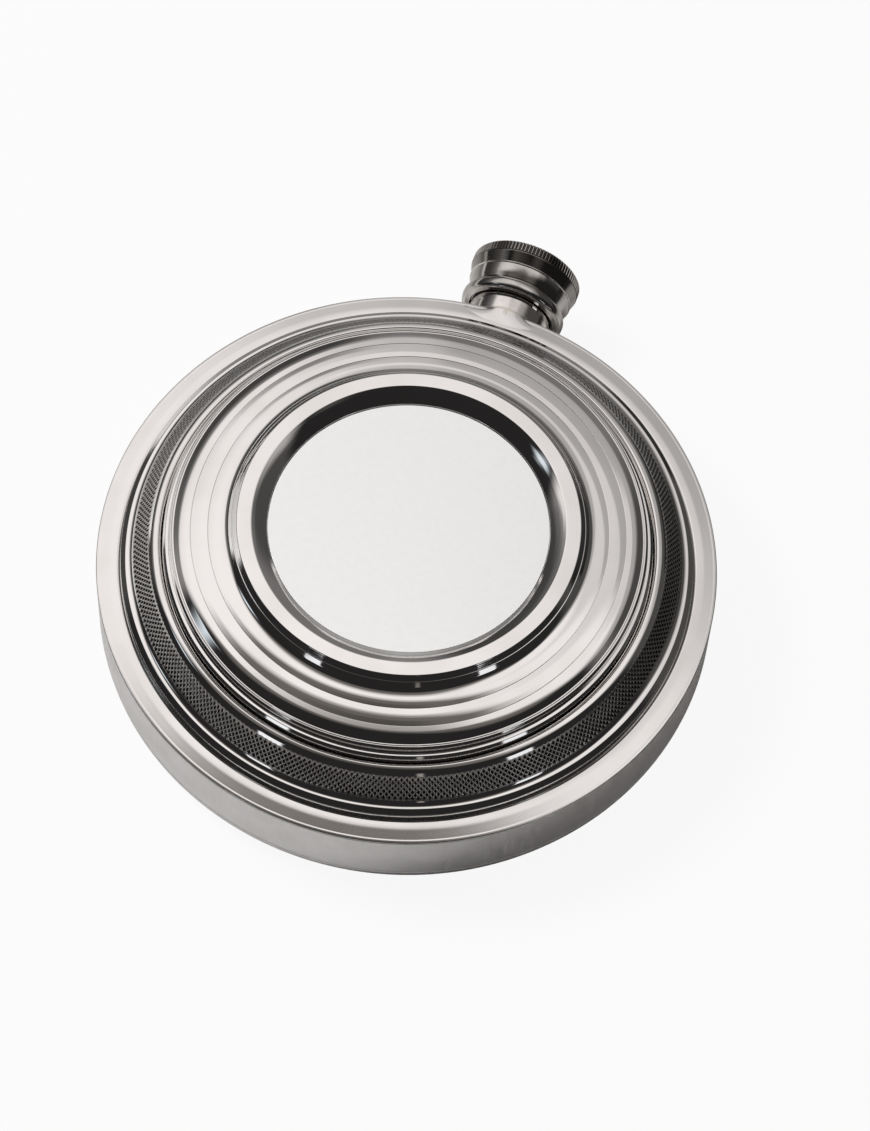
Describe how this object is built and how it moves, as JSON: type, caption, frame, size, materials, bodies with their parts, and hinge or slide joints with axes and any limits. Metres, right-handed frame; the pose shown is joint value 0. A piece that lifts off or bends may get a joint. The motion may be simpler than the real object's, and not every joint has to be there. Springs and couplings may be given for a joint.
{
  "type": "round hip flask",
  "caption": "Round pewter hip flask with a stepped, knurled front, a bare centre disc, a satin side band and a screw cap on a short neck.",
  "frame": {"origin": "centre of the flat back face", "axes": "+Z out of the stepped front, +Y along the neck towards the cap, +X to the right when the neck points up"},
  "size_m": [0.105, 0.1187, 0.0306],
  "materials": {
    "polished_pewter": "polished pewter, slightly warm grey, fine polishing marks",
    "satin_pewter": "satin pewter with fine short streaks across the band",
    "solder": "filed soft solder, satin, a little creamier than the pewter",
    "pale_disc": "bare pale satin plate",
    "seal_rubber": "soft dark seal"
  },
  "bodies": {
    "flask": {"front_shell": "polished_pewter", "centre_disc": "pale_disc", "side_band": "satin_pewter", "back_shell": "satin_pewter", "front_seam_solder": "solder", "back_seam_solder": "solder", "neck_collar": "polished_pewter", "neck_solder_fillet": "solder"},
    "seal": {"cap_seal": "seal_rubber"},
    "cap": {"cap_shell": "polished_pewter", "cap_thread_sleeve": "satin_pewter"}
  },
  "joints": [
    {"name": "cap_lift", "type": "slide", "parent": "flask", "child": "seal", "axis": [0, 1, 0], "range_m": [0, 0.01]},
    {"name": "cap_turn", "type": "hinge", "parent": "seal", "child": "cap", "pos_m": [0, 0.0611, 0.01008], "axis": [0, 1, 0], "range_deg": [0, 1800]}
  ],
  "couplings": [
    {"joint": "cap_turn", "follows": "cap_lift", "rad_per_m": 3141.6}
  ]
}
